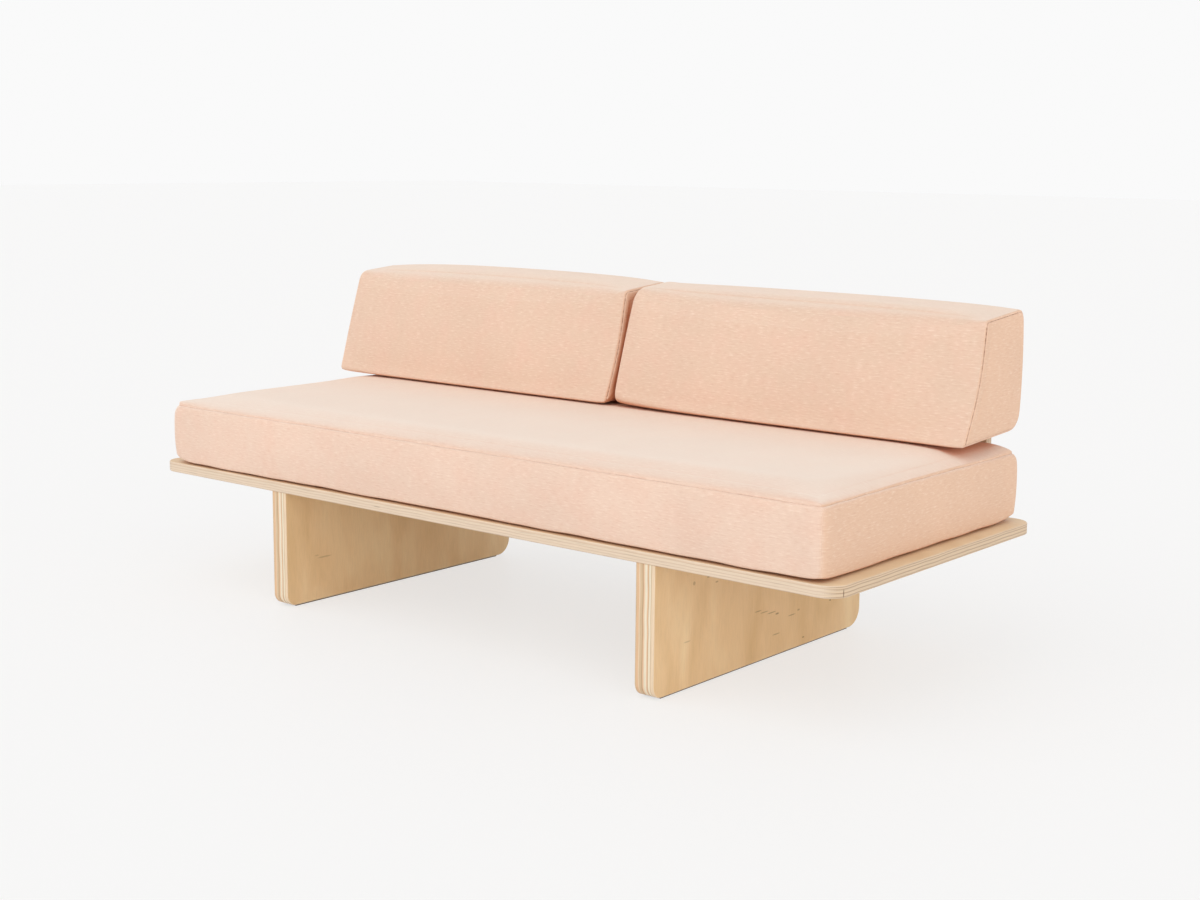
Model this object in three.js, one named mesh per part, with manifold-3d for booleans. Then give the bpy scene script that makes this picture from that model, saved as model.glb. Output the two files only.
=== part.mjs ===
// A plywood divan with a loose mattress and two wedge bolsters that hang on a back panel.
// Millimetres, +Z up, +Y towards the back, +X to the right of someone who faces the divan's front.
// The origin is on the floor, under the middle of the whole divan.
import * as THREE from "three";
import { mergeVertices } from "three/addons/utils/BufferGeometryUtils.js";
import Module from "manifold-3d";

// Clearances
const seatGap = 0.1; // between hard faces that rest on each other or are glued
const softGap = 0.3; // between cloth and what it rests on
const holeGap = 0.3; // round a bolt, insert, nut or dowel, and at its blind end
const overrun = 5; // how far a cutting shape runs past a face

// Mattress
const mattressLength = 1905; // along the top seam
const mattressDepth = 762;
const mattressBorder = 144; // from the underside to the top seam
const mattressCrown = 30; // how far the middle stands above the top seam
const crownSharpness = 14; // a higher figure makes the top flatter and its edges steeper
const mattressCornerReach = 24; // of the round upright corners
const mattressBottomRadius = 25;
const mattressSeamRadius = 5;
const mattressSideBulge = 12; // the sides stand this far outside the seams, but for the flat rear
const mattressDrawIn = 3; // the seams pull in this far between the corners
const mattressFrontMargin = 17; // from the deck's front edge
const mattressEndMargin = 47.5; // from the deck's ends
const mattressRearGap = 3; // to the back panel

// Plywood
const boardThickness = 24;
const arris = 1.5; // the small bevel on every outer edge
const deckCornerRadius = 45;
const deckLength = mattressLength + 2 * mattressEndMargin;
const deckDepth = mattressFrontMargin + mattressDepth + mattressRearGap + boardThickness;

// Legs, each made of two boards glued face to face
const legHeight = 278.4;
const legEndInset = 445; // from the deck's end to the middle of the leg
const legFrontSetback = 3;
const legRearSetback = 16;
const legFrontFootRadius = 28;
const legRearFootRadius = 42;
const legDepth = deckDepth - legFrontSetback - legRearSetback;
const legThickness = 2 * boardThickness + seatGap;

// Felt strips under the legs
const feltThickness = 3;
const feltWidth = 40;
const feltFrontInset = 30;
const feltRearInset = 48;

// Bolsters
const bolsterClearance = 6; // over the middle of the mattress
const bolsterEndInset = 49; // from the deck's ends
const bolsterSpacing = 26; // between the two seams in the middle of the divan
const bolsterBottomDepth = 254;
const bolsterTopDepth = 178;
const bolsterRearHeight = 277;
const bolsterBottomRise = 14; // the underside climbs this much towards the back
const bolsterTopRise = 16;
const bolsterFrontBow = 6;
const bolsterTopBow = 5;
const bolsterEndBulge = 10;
const bolsterEndSag = 6; // how far the top drops towards each end
const bolsterDrawIn = 3;
const bolsterDrawLength = 90; // over twice this length the ends draw in
const bolsterSeamRadius = 4;
const bolsterFrontBottomReach = 13;
const bolsterRearBottomReach = 42;
const bolsterRearTopReach = 16;
const bolsterFrontTopReach = 32;
const bolsterLength = (deckLength - 2 * bolsterEndInset - bolsterSpacing) / 2;

// Cloth, foam and the pocket in each bolster that slips over the back panel
const clothThickness = 2;
const foamGap = 0.5; // between a cover and its foam
const pocketDepth = 217;
const pocketGap = 1.5; // on each face of the panel
const pocketRearWall = 8; // cloth, wadding and cloth behind the panel
const pocketHemInset = 25; // the pocket's rear wall stops this far from the bolster's inner end
const pocketHemMargin = 6; // and this far above the round lower edge
const pocketEndWall = 62; // of bolster outside each end of the panel

// Back panel
const panelCornerRadius = 25;

// Zips
const zipSlit = 10;
const zipTape = 0.8;
const zipRidge = 0.4;
const zipRidgeWidth = 3;
const zipGap = 0.3;
const zipSink = 1; // from the cloth's outer face to the tape
const mattressZipEndInset = 100;
const bolsterZipEndInset = 120;
const bolsterZipSetback = 55; // in front of the pocket
const sliderLength = 14;
const sliderWidth = 8;
const sliderThickness = 1.6;
const pullLength = 20;
const pullWidth = 5;
const pullHoleRadius = 1.3;
const pullThickness = 0.9;
const sliderEndInset = 6; // the closed slider stops this far from the zip's end

// Bolts that hold the deck on the legs, and their inserts
const legBolt = {
  headRadius: 8,
  headHeight: 4.5,
  shankRadius: 4,
  length: 60,
  socket: 2.9,
  socketDepth: 3,
};
const legInsert = { radius: 7, length: 30 };
const legBoltEndInset = 97; // from the leg's front and rear edges
const boltSink = 0.5; // of a head below its face
const boltRimShare = 0.1; // of the head's height that is straight
const boltHoleSpare = 5; // of depth past a bolt's tip
const insertSink = 0.5;

// Bolts that hold the back panel on the deck, and their cross nuts
const panelBolt = {
  headRadius: 6,
  headHeight: 3.3,
  shankRadius: 3,
  length: 65,
  socket: 2.3,
  socketDepth: 2.5,
};
const panelBoltInsets = [139, 639]; // from each end of the panel
const barrelNut = { radius: 5, length: 14, height: 30 };

// Dowels
const legDowel = { radius: 5, inDeck: 14, inOther: 26, chamfer: 1 };
const legDowelSetback = 150; // in front of and behind the leg's middle
const panelDowel = { radius: 4, inDeck: 14, inOther: 16, chamfer: 1 };
const panelDowelSpacing = 500;

// Fineness of curves
const roundSides = 12;
const cornerSides = 8;
const clothCornerSteps = 3;
const mattressSideSteps = 5;
const bolsterSideSteps = 3;

// Heights and places worked out from the sizes above
const legBottom = feltThickness + seatGap;
const legTop = legBottom + legHeight;
const deckBottom = legTop + seatGap;
const deckTop = deckBottom + boardThickness;
const mattressBottom = deckTop + softGap;
const mattressTop = mattressBottom + mattressBorder + mattressCrown;
const bolsterBottom = mattressTop + bolsterClearance;
const panelBottom = deckTop + seatGap;
const panelTop = bolsterBottom + pocketDepth - softGap;
const panelHeight = panelTop - panelBottom;
const panelLength = deckLength - 2 * (bolsterEndInset + pocketEndWall);
const panelMiddleY = deckDepth - boardThickness / 2;
const bolsterRear = deckDepth + pocketGap + pocketRearWall;
const legCentre = deckLength / 2 - legEndInset;

// Finishes
function finish(color, roughness, metalness) {
  return new THREE.MeshStandardMaterial({ color, roughness, metalness });
}
const facePlywood = finish("#dcc19c", 0.55, 0);
const legPlywood = finish("#cda87b", 0.55, 0);
const beech = finish("#d9b382", 0.7, 0);
const upholstery = finish("#efccb6", 0.95, 0);
const foam = finish("#f1ead6", 0.95, 0);
const felt = finish("#6b5b4c", 1, 0);
const zincSteel = finish("#b8bcc0", 0.4, 0.9);
const brass = finish("#c3a45c", 0.35, 0.9);
const zipNylon = finish("#dbb9a4", 0.7, 0);

const wasm = await Module();
wasm.setup();

// Solids and cuts

// A closed geometry as a solid that can be joined and cut
function solidOf(geometry) {
  const bare = geometry.clone();
  bare.deleteAttribute("normal");
  bare.deleteAttribute("uv");
  const merged = mergeVertices(bare);
  const vertProperties = merged.getAttribute("position").array;
  const triVerts = new Uint32Array(merged.index.array);
  return new wasm.Manifold(new wasm.Mesh({ numProp: 3, vertProperties, triVerts }));
}

function geometryOf(solid) {
  const mesh = solid.getMesh();
  const geometry = new THREE.BufferGeometry();
  geometry.setAttribute("position", new THREE.BufferAttribute(mesh.vertProperties, mesh.numProp));
  geometry.setIndex(new THREE.BufferAttribute(mesh.triVerts, 1));
  return geometry;
}

// The blank less every tool
function cut(blank, tools) {
  let solid = solidOf(blank);
  for (const tool of tools) {
    solid = solid.subtract(solidOf(tool));
  }
  return geometryOf(solid);
}

function join(first, second) {
  return geometryOf(solidOf(first).add(solidOf(second)));
}

function common(first, second) {
  return geometryOf(solidOf(first).intersect(solidOf(second)));
}

// A box between two opposite corners, each given as [x, y, z]
function boxBetween(from, to) {
  const size = from.map((value, i) => Math.abs(to[i] - value));
  const middle = from.map((value, i) => (to[i] + value) / 2);
  return new THREE.BoxGeometry(...size).translate(...middle);
}

// A round bar from [x, y, z] along +Z
function bar(radius, length, x = 0, y = 0, z = 0) {
  const geometry = new THREE.CylinderGeometry(radius, radius, length, roundSides);
  return geometry.rotateX(Math.PI / 2).translate(x, y, z + length / 2);
}

// A solid of revolution about +Z, from a profile of [radius, height] that starts and ends on the axis
function turned(profile) {
  const points = profile.map(([radius, height]) => new THREE.Vector2(radius, height));
  return new THREE.LatheGeometry(points, roundSides).rotateX(Math.PI / 2);
}

function roundedRectangle(width, height, bottomRadius, topRadius, leftFootRadius = bottomRadius) {
  const shape = new THREE.Shape();
  const right = width / 2;
  const quarter = Math.PI / 2;
  shape.absarc(right - bottomRadius, bottomRadius, bottomRadius, -quarter, 0);
  if (topRadius > 0) {
    shape.absarc(right - topRadius, height - topRadius, topRadius, 0, quarter);
    shape.absarc(topRadius - right, height - topRadius, topRadius, quarter, 2 * quarter);
  } else {
    shape.lineTo(right, height);
    shape.lineTo(-right, height);
  }
  shape.absarc(leftFootRadius - right, leftFootRadius, leftFootRadius, 2 * quarter, 3 * quarter);
  return shape;
}

// A board of the given outline, from z = 0 to its thickness, with a small bevel on every edge
function board(outline, thickness) {
  return new THREE.ExtrudeGeometry(outline, {
    depth: thickness - 2 * arris,
    bevelThickness: arris,
    bevelSize: arris,
    bevelOffset: -arris,
    bevelSegments: 1,
    curveSegments: cornerSides,
  }).translate(0, 0, arris);
}

// Turns an outline drawn in X and Y so that it stands up, facing X or facing Y
const alongX = new THREE.Vector3(1, 0, 0);
const alongY = new THREE.Vector3(0, 1, 0);
const alongZ = new THREE.Vector3(0, 0, 1);
const standFacingX = new THREE.Matrix4().makeBasis(alongY, alongZ, alongX);
const standFacingY = new THREE.Matrix4().makeBasis(alongX, alongZ, alongY.clone().negate());

function place(parent, name, geometry, material, x = 0, y = 0, z = 0) {
  const mesh = new THREE.Mesh(geometry, material);
  mesh.name = name;
  mesh.position.set(x, y, z);
  parent.add(mesh);
  return mesh;
}

// Fasteners

// A countersunk bolt that points along -Z from its head's flat face at z = 0, or the hole for it
function boltShape(size, gap, headRoom) {
  const head = size.headRadius + gap;
  const shank = size.shankRadius + gap;
  return turned([
    [0, -size.length - gap],
    [shank, -size.length - gap],
    [shank, -size.headHeight],
    [head, -size.headHeight * boltRimShare],
    [head, headRoom],
    [0, headRoom],
  ]);
}

function bolt(size) {
  const socket = new THREE.CylinderGeometry(size.socket, size.socket, size.socketDepth + overrun, 6);
  socket.rotateX(Math.PI / 2).translate(0, 0, (overrun - size.socketDepth) / 2);
  return cut(boltShape(size, 0, 0), [socket]);
}

function boltHole(size, x, y, z, pointsUp = false) {
  const hole = boltShape(size, holeGap, boltSink + overrun);
  return (pointsUp ? hole.rotateX(Math.PI) : hole).translate(x, y, z);
}

// A sleeve round the bolt, hanging down from z = 0
function insertSleeve(size, boltSize) {
  const bore = boltSize.shankRadius + holeGap;
  return cut(bar(size.radius, size.length, 0, 0, -size.length), [
    bar(bore, size.length + 2 * overrun, 0, 0, -size.length - overrun),
  ]);
}

// A cylinder lying along Y with a cross hole for its bolt
function crossNut(size, boltSize) {
  const nut = new THREE.CylinderGeometry(size.radius, size.radius, size.length, roundSides);
  const reach = size.radius + overrun;
  return cut(nut, [bar(boltSize.shankRadius + holeGap, 2 * reach, 0, 0, -reach)]);
}

// A dowel with z = 0 where the two pieces meet; it reaches up into one and down into the other
function dowel(size, up, down) {
  return turned([
    [0, -down],
    [size.radius - size.chamfer, -down],
    [size.radius, size.chamfer - down],
    [size.radius, up - size.chamfer],
    [size.radius - size.chamfer, up],
    [0, up],
  ]);
}

// The bolts and dowels of a leg, by name, as places along its depth from its front edge
const legBoltPlaces = { front: legBoltEndInset, middle: legDepth / 2, rear: legDepth - legBoltEndInset };
const legDowelPlaces = { front: legDepth / 2 - legDowelSetback, rear: legDepth / 2 + legDowelSetback };
const panelBoltPlaces = [
  ...panelBoltInsets.map((inset) => inset - panelLength / 2),
  ...panelBoltInsets.toReversed().map((inset) => panelLength / 2 - inset),
];
const panelDowelPlaces = [-panelDowelSpacing, 0, panelDowelSpacing];

// Frame

function deckPanel() {
  const outline = roundedRectangle(deckLength, deckDepth, deckCornerRadius, deckCornerRadius);
  const tools = [];
  for (const x of [-legCentre, legCentre]) {
    for (const along of Object.values(legBoltPlaces)) {
      tools.push(boltHole(legBolt, x, legFrontSetback + along, boardThickness - boltSink));
    }
    for (const along of Object.values(legDowelPlaces)) {
      const depth = legDowel.inDeck + holeGap + overrun;
      tools.push(bar(legDowel.radius + holeGap, depth, x, legFrontSetback + along, -overrun));
    }
  }
  for (const x of panelBoltPlaces) {
    tools.push(boltHole(panelBolt, x, panelMiddleY, boltSink, true));
  }
  for (const x of panelDowelPlaces) {
    const depth = panelDowel.inDeck + holeGap;
    tools.push(bar(panelDowel.radius + holeGap, depth + overrun, x, panelMiddleY, boardThickness - depth));
  }
  return cut(board(outline, boardThickness), tools);
}

// One leg's two boards, in a frame at the leg's middle and front edge, with z = 0 at its foot
function legBoards() {
  const outline = roundedRectangle(legDepth, legHeight, legRearFootRadius, 0, legFrontFootRadius);
  const blank = board(outline, legThickness).applyMatrix4(standFacingX);
  blank.translate(-legThickness / 2, legDepth / 2, 0);
  const tools = [];
  for (const along of Object.values(legBoltPlaces)) {
    const sleeveDepth = insertSink + legInsert.length + holeGap;
    const tipDepth = legBolt.length + boltSink + boltHoleSpare - boardThickness;
    tools.push(bar(legInsert.radius + holeGap, sleeveDepth + overrun, 0, along, legHeight - sleeveDepth));
    tools.push(bar(legBolt.shankRadius + holeGap, tipDepth + overrun, 0, along, legHeight - tipDepth));
  }
  for (const along of Object.values(legDowelPlaces)) {
    const depth = legDowel.inOther + holeGap;
    tools.push(bar(legDowel.radius + holeGap, depth + overrun, 0, along, legHeight - depth));
  }
  const whole = cut(blank, tools);
  const half = (side) =>
    boxBetween(
      [(side * seatGap) / 2, -overrun, -overrun],
      [side * (legThickness / 2 + overrun), legDepth + overrun, legHeight + overrun],
    );
  return { left: common(whole, half(-1)), right: common(whole, half(1)) };
}

function leg(name, side) {
  const group = new THREE.Group();
  group.position.set(side * legCentre, legFrontSetback, 0);
  const boards = legBoards();
  const outer = side < 0 ? boards.left : boards.right;
  const inner = side < 0 ? boards.right : boards.left;
  place(group, `${name}_leg_outer_board`, outer, legPlywood, 0, 0, legBottom);
  place(group, `${name}_leg_inner_board`, inner, legPlywood, 0, 0, legBottom);
  const strip = boxBetween(
    [-feltWidth / 2, feltFrontInset, 0],
    [feltWidth / 2, legDepth - feltRearInset, feltThickness],
  );
  place(group, `${name}_leg_felt`, strip, felt);
  for (const [spot, along] of Object.entries(legBoltPlaces)) {
    place(group, `${name}_leg_${spot}_bolt`, bolt(legBolt), zincSteel, 0, along, deckTop - boltSink);
    const sleeve = insertSleeve(legInsert, legBolt);
    place(group, `${name}_leg_${spot}_insert`, sleeve, brass, 0, along, legTop - insertSink);
  }
  for (const [spot, along] of Object.entries(legDowelPlaces)) {
    const pin = dowel(legDowel, legDowel.inDeck, legDowel.inOther);
    place(group, `${name}_leg_${spot}_dowel`, pin, beech, 0, along, deckBottom);
  }
  return group;
}

// The back panel and what holds it, in a frame at the panel's mid thickness, with z = 0 at its foot
function backPanel() {
  const group = new THREE.Group();
  group.position.set(0, panelMiddleY, panelBottom);
  const outline = new THREE.Shape();
  const right = panelLength / 2;
  const quarter = Math.PI / 2;
  outline.moveTo(-right, 0);
  outline.lineTo(right, 0);
  const cornerX = right - panelCornerRadius;
  const cornerZ = panelHeight - panelCornerRadius;
  outline.absarc(cornerX, cornerZ, panelCornerRadius, 0, quarter);
  outline.absarc(-cornerX, cornerZ, panelCornerRadius, quarter, 2 * quarter);
  const blank = board(outline, boardThickness).applyMatrix4(standFacingY);
  blank.translate(0, boardThickness / 2, 0);
  const tools = [];
  for (const x of panelBoltPlaces) {
    const tipDepth = panelBolt.length + boltSink + boltHoleSpare - boardThickness;
    tools.push(bar(panelBolt.shankRadius + holeGap, tipDepth + overrun, x, 0, -overrun));
    const nutHoleRear = barrelNut.length / 2 + holeGap;
    const nutHoleDepth = boardThickness / 2 + nutHoleRear + overrun;
    const nutHole = bar(barrelNut.radius + holeGap, nutHoleDepth).rotateX(Math.PI / 2);
    tools.push(nutHole.translate(x, nutHoleRear, barrelNut.height));
  }
  for (const x of panelDowelPlaces) {
    const depth = panelDowel.inOther + holeGap;
    tools.push(bar(panelDowel.radius + holeGap, depth + overrun, x, 0, -overrun));
  }
  place(group, "back_panel", cut(blank, tools), facePlywood);
  panelBoltPlaces.forEach((x, i) => {
    const boltMesh = place(group, `back_panel_bolt_${i + 1}`, bolt(panelBolt), zincSteel);
    boltMesh.rotation.x = Math.PI;
    boltMesh.position.set(x, 0, deckBottom + boltSink - panelBottom);
    const nut = crossNut(barrelNut, panelBolt);
    place(group, `back_panel_barrel_nut_${i + 1}`, nut, zincSteel, x, 0, barrelNut.height);
  });
  panelDowelPlaces.forEach((x, i) => {
    const pin = dowel(panelDowel, panelDowel.inOther, panelDowel.inDeck);
    place(group, `back_panel_dowel_${i + 1}`, pin, beech, x, 0, -seatGap);
  });
  return group;
}

// Cushions

// A loop of points inside a polygon by the inset, with soft corners and sides that bow out
function softLoop(corners, inset, sideSteps, bowShare) {
  const sideNormal = (from, to) => new THREE.Vector2(from.y - to.y, to.x - from.x).normalize();
  const places = corners.map((corner, i) => {
    const before = corners.at(i - 1);
    const after = corners[(i + 1) % corners.length];
    const normalBefore = sideNormal(before.at, corner.at);
    const normalAfter = sideNormal(corner.at, after.at);
    const step = inset / (1 + normalBefore.dot(normalAfter));
    return corner.at.clone().addScaledVector(normalBefore.add(normalAfter), step);
  });
  const bends = corners.map((corner, i) => {
    const here = places[i];
    const before = places.at(i - 1);
    const after = places[(i + 1) % places.length];
    const reach = Math.max(corner.reach - inset, corner.reach / 4);
    const enter = here.clone().addScaledVector(before.clone().sub(here).normalize(), reach);
    const leave = here.clone().addScaledVector(after.clone().sub(here).normalize(), reach);
    return new THREE.QuadraticBezierCurve(enter, here, leave).getPoints(clothCornerSteps);
  });
  const loop = [];
  corners.forEach((corner, i) => {
    loop.push(...bends[i]);
    const from = bends[i].at(-1);
    const to = bends[(i + 1) % bends.length][0];
    const outward = sideNormal(from, to).negate();
    for (let step = 1; step < sideSteps; step++) {
      const share = step / sideSteps;
      const bow = 4 * share * (1 - share) * corner.bow * bowShare;
      loop.push(from.clone().lerp(to, share).addScaledVector(outward, bow));
    }
  });
  return loop;
}

// A closed skin through rings of as many points each, drawn to a point at each end
function skin(rings, firstTip, lastTip) {
  const around = rings[0].length;
  const points = [firstTip, ...rings.flat(), lastTip];
  const index = [];
  for (let here = 0; here < around; here++) {
    const next = (here + 1) % around;
    index.push(0, 1 + next, 1 + here);
    for (let ring = 0; ring + 1 < rings.length; ring++) {
      const low = 1 + ring * around;
      const high = low + around;
      index.push(low + here, low + next, high + next, low + here, high + next, high + here);
    }
    const last = 1 + (rings.length - 1) * around;
    index.push(points.length - 1, last + here, last + next);
  }
  return new THREE.BufferGeometry().setFromPoints(points).setIndex(index);
}

// The mattress's surface, sunk inwards by the shell. z = 0 is its underside
function mattressSkin(shell) {
  const halfLength = mattressLength / 2 + mattressSideBulge;
  const halfDepth = mattressDepth / 2 + mattressSideBulge;
  const corners = [
    [-halfLength, -halfDepth],
    [halfLength, -halfDepth],
    [halfLength, halfDepth],
    [-halfLength, halfDepth],
  ].map(([x, y]) => ({ at: new THREE.Vector2(x, y), reach: mattressCornerReach, bow: -mattressDrawIn }));
  const flatRear = mattressDepth / 2 - shell;
  const rings = [];
  const addRing = (inset, height, bowShare) => {
    const loop = softLoop(corners, inset + shell, mattressSideSteps, bowShare);
    rings.push(loop.map((point) => new THREE.Vector3(point.x, Math.min(point.y, flatRear), height)));
  };
  const quarter = Math.PI / 2;
  addRing(mattressSideBulge + 2 * mattressBottomRadius, shell, 1);
  const bottomShares = [0, 1 / 3, 2 / 3, 1];
  for (const share of bottomShares) {
    const inset = mattressSideBulge + mattressBottomRadius * (1 - Math.sin(share * quarter));
    addRing(inset, shell + mattressBottomRadius * (1 - Math.cos(share * quarter)), 1);
  }
  const sideMiddle = (mattressBottomRadius + mattressBorder - mattressSeamRadius) / 2;
  const bulgeShares = [-0.6, -0.2, 0.2, 0.6];
  for (const share of bulgeShares) {
    const bulge = mattressSideBulge - (share > 0 ? mattressSeamRadius : 0);
    addRing(bulge * share ** 2, sideMiddle + share * (sideMiddle - mattressBottomRadius), share ** 2);
  }
  const topShares = [0, 1 / 2, 1];
  for (const share of topShares) {
    const inset = mattressSideBulge - mattressSeamRadius * Math.cos(share * quarter);
    addRing(inset, mattressBorder - shell - mattressSeamRadius * (1 - Math.sin(share * quarter)), 1);
  }
  const crownShares = [0.03, 0.08, 0.2, 0.5];
  for (const share of crownShares) {
    const height = mattressBorder - shell + mattressCrown * (1 - (1 - share) ** crownSharpness);
    addRing(mattressSideBulge + share * (halfDepth - mattressSideBulge - shell), height, 1 - share);
  }
  const underside = new THREE.Vector3(0, 0, shell);
  const crownTip = new THREE.Vector3(0, 0, mattressBorder + mattressCrown - shell);
  return skin(rings, underside, crownTip);
}

// A bolster's surface, sunk inwards by the shell. x = 0 is its middle, y = 0 its rear face,
// z = 0 its front foot
function bolsterSkin(shell) {
  const corner = (y, z, reach, bow) => ({ at: new THREE.Vector2(y, z), reach, bow });
  const section = (inset, endShare) => {
    const rearTop = bolsterBottomRise + bolsterRearHeight - bolsterEndSag * endShare;
    const corners = [
      corner(-bolsterBottomDepth, 0, bolsterFrontBottomReach, 0),
      corner(0, bolsterBottomRise, bolsterRearBottomReach, 0),
      corner(0, rearTop, bolsterRearTopReach, bolsterTopBow),
      corner(-bolsterTopDepth, rearTop - bolsterTopRise, bolsterFrontTopReach, bolsterFrontBow),
    ];
    return softLoop(corners, inset + shell, bolsterSideSteps, 1 - endShare);
  };
  const halfLength = bolsterLength / 2 - shell;
  const endLoop = section(bolsterDrawIn + bolsterSeamRadius, 1);
  const middle = new THREE.Vector2();
  endLoop.forEach((point) => middle.addScaledVector(point, 1 / endLoop.length));
  const stations = [
    [2 * bolsterDrawLength, section(0, 0)],
    [bolsterDrawLength, section(bolsterDrawIn / 3, 1 / 3)],
    [bolsterSeamRadius, section(bolsterDrawIn, 1)],
    [bolsterSeamRadius / 3, section(bolsterDrawIn + bolsterSeamRadius / 3, 1)],
    [0, endLoop],
  ];
  const capShares = [
    [0.85, 0.4],
    [0.45, 0.85],
  ];
  for (const [size, bulge] of capShares) {
    const loop = endLoop.map((point) => point.clone().lerp(middle, 1 - size));
    stations.push([-bolsterEndBulge * bulge, loop]);
  }
  const ringAt = (x, loop) => loop.map((point) => new THREE.Vector3(x, point.x, point.y));
  const rightRings = stations.map(([fromEnd, loop]) => ringAt(halfLength - fromEnd, loop));
  const leftRings = stations.map(([fromEnd, loop]) => ringAt(fromEnd - halfLength, loop)).reverse();
  const tipReach = halfLength + bolsterEndBulge;
  const tip = (x) => new THREE.Vector3(x, middle.x, middle.y);
  return skin([...leftRings, ...rightRings], tip(-tipReach), tip(tipReach));
}

// A zip's parts lie with their outer face towards +Z, along X
function zipTapeStrip(length) {
  const half = zipSlit / 2 - zipGap;
  const ridge = zipRidgeWidth / 2;
  const profile = new THREE.Shape(
    [
      [-half, 0],
      [half, 0],
      [half, zipTape],
      [ridge, zipTape],
      [ridge, zipTape + zipRidge],
      [-ridge, zipTape + zipRidge],
      [-ridge, zipTape],
      [-half, zipTape],
    ].map(([y, z]) => new THREE.Vector2(y, z)),
  );
  const strip = new THREE.ExtrudeGeometry(profile, { depth: length, bevelEnabled: false });
  return strip.applyMatrix4(standFacingX).translate(-length / 2, 0, 0);
}

function zipSlider() {
  const body = boxBetween([0, -sliderWidth / 2, 0], [sliderLength, sliderWidth / 2, sliderThickness]);
  const outline = new THREE.Shape();
  const half = pullWidth / 2;
  outline.moveTo(0, -half);
  outline.absarc(pullLength - half, 0, half, -Math.PI / 2, Math.PI / 2);
  outline.lineTo(0, half);
  outline.holes.push(new THREE.Path().absarc(pullLength - half, 0, pullHoleRadius, 0, 2 * Math.PI));
  const pull = new THREE.ExtrudeGeometry(outline, {
    depth: pullThickness,
    bevelEnabled: false,
    curveSegments: cornerSides,
  });
  return join(body, pull.translate(sliderLength / 2, 0, (sliderThickness - pullThickness) / 2));
}

// The tape and slider of a zip, in a group whose z = 0 is the cloth's outer face
function addZip(parent, name, length) {
  place(parent, `${name}_zip`, zipTapeStrip(length - 2 * zipGap), zipNylon, 0, 0, -zipSink - zipTape);
  const sliderX = sliderEndInset - length / 2;
  place(parent, `${name}_zip_slider`, zipSlider(), zincSteel, sliderX, 0, zipGap + zipRidge - zipSink);
}

// The opening in the cloth for a zip, in the same group's frame
function zipOpening(length) {
  const deep = clothThickness + overrun;
  return boxBetween([-length / 2, -zipSlit / 2, -deep], [length / 2, zipSlit / 2, overrun]);
}

function mattress() {
  const group = new THREE.Group();
  group.position.set(0, mattressFrontMargin + mattressDepth / 2, mattressBottom);
  const zipLength = mattressLength - 2 * mattressZipEndInset;
  const zip = new THREE.Group();
  zip.position.set(0, mattressDepth / 2, mattressBorder / 2);
  zip.rotation.x = -Math.PI / 2;
  zip.updateMatrix();
  addZip(zip, "mattress", zipLength);
  group.add(zip);
  const opening = zipOpening(zipLength).applyMatrix4(zip.matrix);
  const cover = cut(mattressSkin(0), [mattressSkin(clothThickness), opening]);
  place(group, "mattress_cover", cover, upholstery);
  place(group, "mattress_foam_core", mattressSkin(clothThickness + foamGap), foam);
  return group;
}

function bolster(name, side) {
  const group = new THREE.Group();
  group.position.set((side * (bolsterSpacing + bolsterLength)) / 2, bolsterRear, bolsterBottom);
  const innerEnd = -side * (bolsterLength / 2 + bolsterEndBulge + overrun);
  const panelEnd = side * (bolsterLength / 2 - pocketEndWall);
  const pocketFront = deckDepth - boardThickness - pocketGap - bolsterRear;
  const pocketEnd = panelEnd + side * pocketGap;
  const hemX = -side * (bolsterLength / 2 - pocketHemInset);
  const hemHeight = bolsterBottomRise + bolsterRearBottomReach + pocketHemMargin;

  // The pocket, and the rear wall trimmed off below its hem and near the bolster's inner end. All three are
  // grown by a wall, so that they also leave room for the lining and the foam
  const pocketTools = (wall) => [
    boxBetween(
      [pocketEnd + side * wall, pocketFront - wall, -overrun],
      [innerEnd, wall - pocketRearWall, pocketDepth + wall],
    ),
    boxBetween(
      [pocketEnd + side * wall, pocketFront - wall, -overrun],
      [innerEnd, overrun, hemHeight + wall],
    ),
    boxBetween(
      [hemX + side * wall, pocketFront - wall, -overrun],
      [innerEnd, overrun, pocketDepth + wall],
    ),
  ];

  const slope = Math.atan2(bolsterBottomRise, bolsterBottomDepth);
  const zipY = pocketFront - bolsterZipSetback;
  const zipLength = bolsterLength - 2 * bolsterZipEndInset;
  const zip = new THREE.Group();
  zip.position.set(0, zipY, (bolsterBottomDepth + zipY) * Math.tan(slope));
  zip.rotation.x = Math.PI + slope;
  zip.updateMatrix();
  addZip(zip, `${name}_bolster`, zipLength);
  group.add(zip);
  const opening = zipOpening(zipLength).applyMatrix4(zip.matrix);

  const cavity = cut(bolsterSkin(clothThickness), pocketTools(clothThickness));
  const cover = cut(bolsterSkin(0), [cavity, ...pocketTools(0), opening]);
  place(group, `${name}_bolster_cover`, cover, upholstery);
  const coreWall = clothThickness + foamGap;
  const core = cut(bolsterSkin(coreWall), pocketTools(coreWall));
  place(group, `${name}_bolster_foam_core`, core, foam);
  return group;
}

const divan = new THREE.Group();
divan.position.y = -bolsterRear / 2;
place(divan, "deck_panel", deckPanel(), facePlywood, 0, 0, deckBottom);
divan.add(leg("left", -1), leg("right", 1), backPanel());
divan.add(mattress(), bolster("left", -1), bolster("right", 1));

const root = new THREE.Group();
root.add(divan);

export default root;
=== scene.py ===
import math

import bpy
import numpy as np
from mathutils import Matrix, Vector, kdtree, noise


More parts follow.
